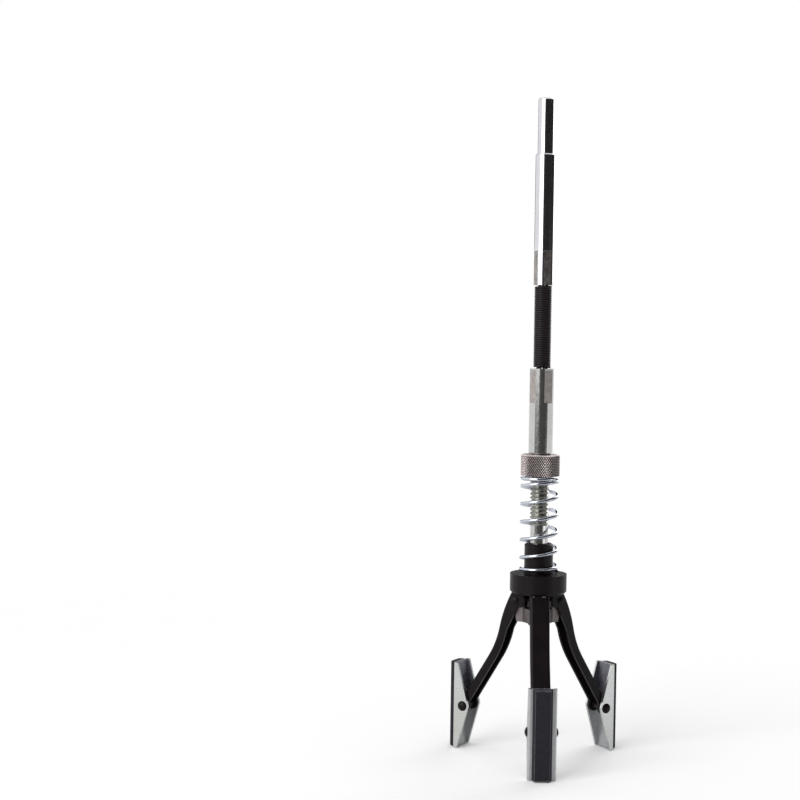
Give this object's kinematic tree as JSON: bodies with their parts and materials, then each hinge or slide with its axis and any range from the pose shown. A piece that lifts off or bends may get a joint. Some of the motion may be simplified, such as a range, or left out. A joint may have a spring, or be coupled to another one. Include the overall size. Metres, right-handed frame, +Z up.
{
  "type": "cylinder hone",
  "caption": "Spring-loaded cylinder hone with abrasive stones on spreading arms, a sliding collar, a knurled adjusting nut and a flexible drive shaft for a drill.",
  "frame": {"origin": "centre of the drive shank's top face", "axes": "+Z up the tool's axis towards the drill, the front arm along -Y"},
  "size_m": [0.0554, 0.0484, 0.2138],
  "materials": {
    "chromed_steel": "polished plating",
    "wound_wire": "wound wire",
    "blackened_wire": "black oxide",
    "zinc_plated_steel": "zinc plated, smooth",
    "grey_nut_metal": "dull plating, knurled",
    "spring_steel": "bright plating",
    "black_metal": "satin black",
    "dull_zinc": "matte zinc",
    "bright_zinc": "bright zinc",
    "abrasive_stone": "fine grain"
  },
  "bodies": {
    "drive_end": {"drive_shank": "chromed_steel"},
    "flexible_shaft": {"flexible_core": "wound_wire", "flexible_coil": "blackened_wire"},
    "spindle_head": {"spindle": "zinc_plated_steel", "bracket_plate_front_right": "dull_zinc", "bracket_plate_rear": "dull_zinc", "bracket_plate_front_left": "dull_zinc", "arm_pivot_pin_front": "black_metal", "arm_pivot_pin_right": "black_metal", "arm_pivot_pin_left": "black_metal"},
    "spring": {"tension_spring": "spring_steel"},
    "nut": {"knurled_nut": "grey_nut_metal"},
    "collar": {"sliding_collar": "black_metal"},
    "front_arm": {"arm_front": "black_metal", "holder_pin_front": "black_metal"},
    "right_arm": {"arm_right": "black_metal", "holder_pin_right": "black_metal"},
    "left_arm": {"arm_left": "black_metal", "holder_pin_left": "black_metal"},
    "front_holder": {"stone_holder_front": "bright_zinc", "stone_front": "abrasive_stone"},
    "right_holder": {"stone_holder_right": "bright_zinc", "stone_right": "abrasive_stone"},
    "left_holder": {"stone_holder_left": "bright_zinc", "stone_left": "abrasive_stone"}
  },
  "joints": [
    {"name": "shaft_bend_x", "type": "hinge", "parent": "drive_end", "child": "flexible_shaft", "pos_m": [0, 0, -0.06675], "axis": [1, 0, 0], "range_deg": [-25, 25], "stiffness_Nm_per_rad": 0.4, "deforming": ["flexible_core", "flexible_coil"]},
    {"name": "shaft_bend_y", "type": "hinge", "parent": "flexible_shaft", "child": "spindle_head", "pos_m": [0, 0, -0.08025], "axis": [0, 1, 0], "range_deg": [-25, 25], "stiffness_Nm_per_rad": 0.4, "deforming": ["flexible_core", "flexible_coil"]},
    {"name": "nut_slide", "type": "slide", "parent": "spindle_head", "child": "spring", "axis": [0, 0, 1], "range_m": [-0.0163, 0], "deforming": ["tension_spring"]},
    {"name": "nut_turn", "type": "hinge", "parent": "spring", "child": "nut", "pos_m": [0, 0, -0.1181], "axis": [0, 0, 1], "range_deg": [-4640, 5]},
    {"name": "collar_slide", "type": "slide", "parent": "spindle_head", "child": "collar", "axis": [0, 0, 1], "range_m": [0, 0.00058], "stiffness_N_per_m": 2300, "springref_m": -0.005, "deforming": ["tension_spring"]},
    {"name": "arm_front_swing", "type": "hinge", "parent": "spindle_head", "child": "front_arm", "pos_m": [0, -0.0068, -0.16265], "axis": [1, 0, 0], "range_deg": [0, 25]},
    {"name": "arm_right_swing", "type": "hinge", "parent": "spindle_head", "child": "right_arm", "pos_m": [0.00589, 0.0034, -0.16265], "axis": [-0.5, 0.866, 0], "range_deg": [0, 25]},
    {"name": "arm_left_swing", "type": "hinge", "parent": "spindle_head", "child": "left_arm", "pos_m": [-0.00589, 0.0034, -0.16265], "axis": [-0.5, -0.866, 0], "range_deg": [0, 25]},
    {"name": "holder_front_tilt", "type": "hinge", "parent": "front_arm", "child": "front_holder", "pos_m": [0, -0.02498, -0.19951], "axis": [1, 0, 0], "range_deg": [-30, 5]},
    {"name": "holder_right_tilt", "type": "hinge", "parent": "right_arm", "child": "right_holder", "pos_m": [0.02163, 0.01249, -0.19951], "axis": [-0.5, 0.866, 0], "range_deg": [-30, 5]},
    {"name": "holder_left_tilt", "type": "hinge", "parent": "left_arm", "child": "left_holder", "pos_m": [-0.02163, 0.01249, -0.19951], "axis": [-0.5, -0.866, 0], "range_deg": [-30, 5]}
  ],
  "couplings": [
    {"joint": "nut_turn", "follows": "nut_slide", "rad_per_m": 4947.4},
    {"joint": "arm_front_swing", "follows": "collar_slide", "rad_per_m": 723.6},
    {"joint": "arm_right_swing", "follows": "collar_slide", "rad_per_m": 723.6},
    {"joint": "arm_left_swing", "follows": "collar_slide", "rad_per_m": 723.6}
  ]
}
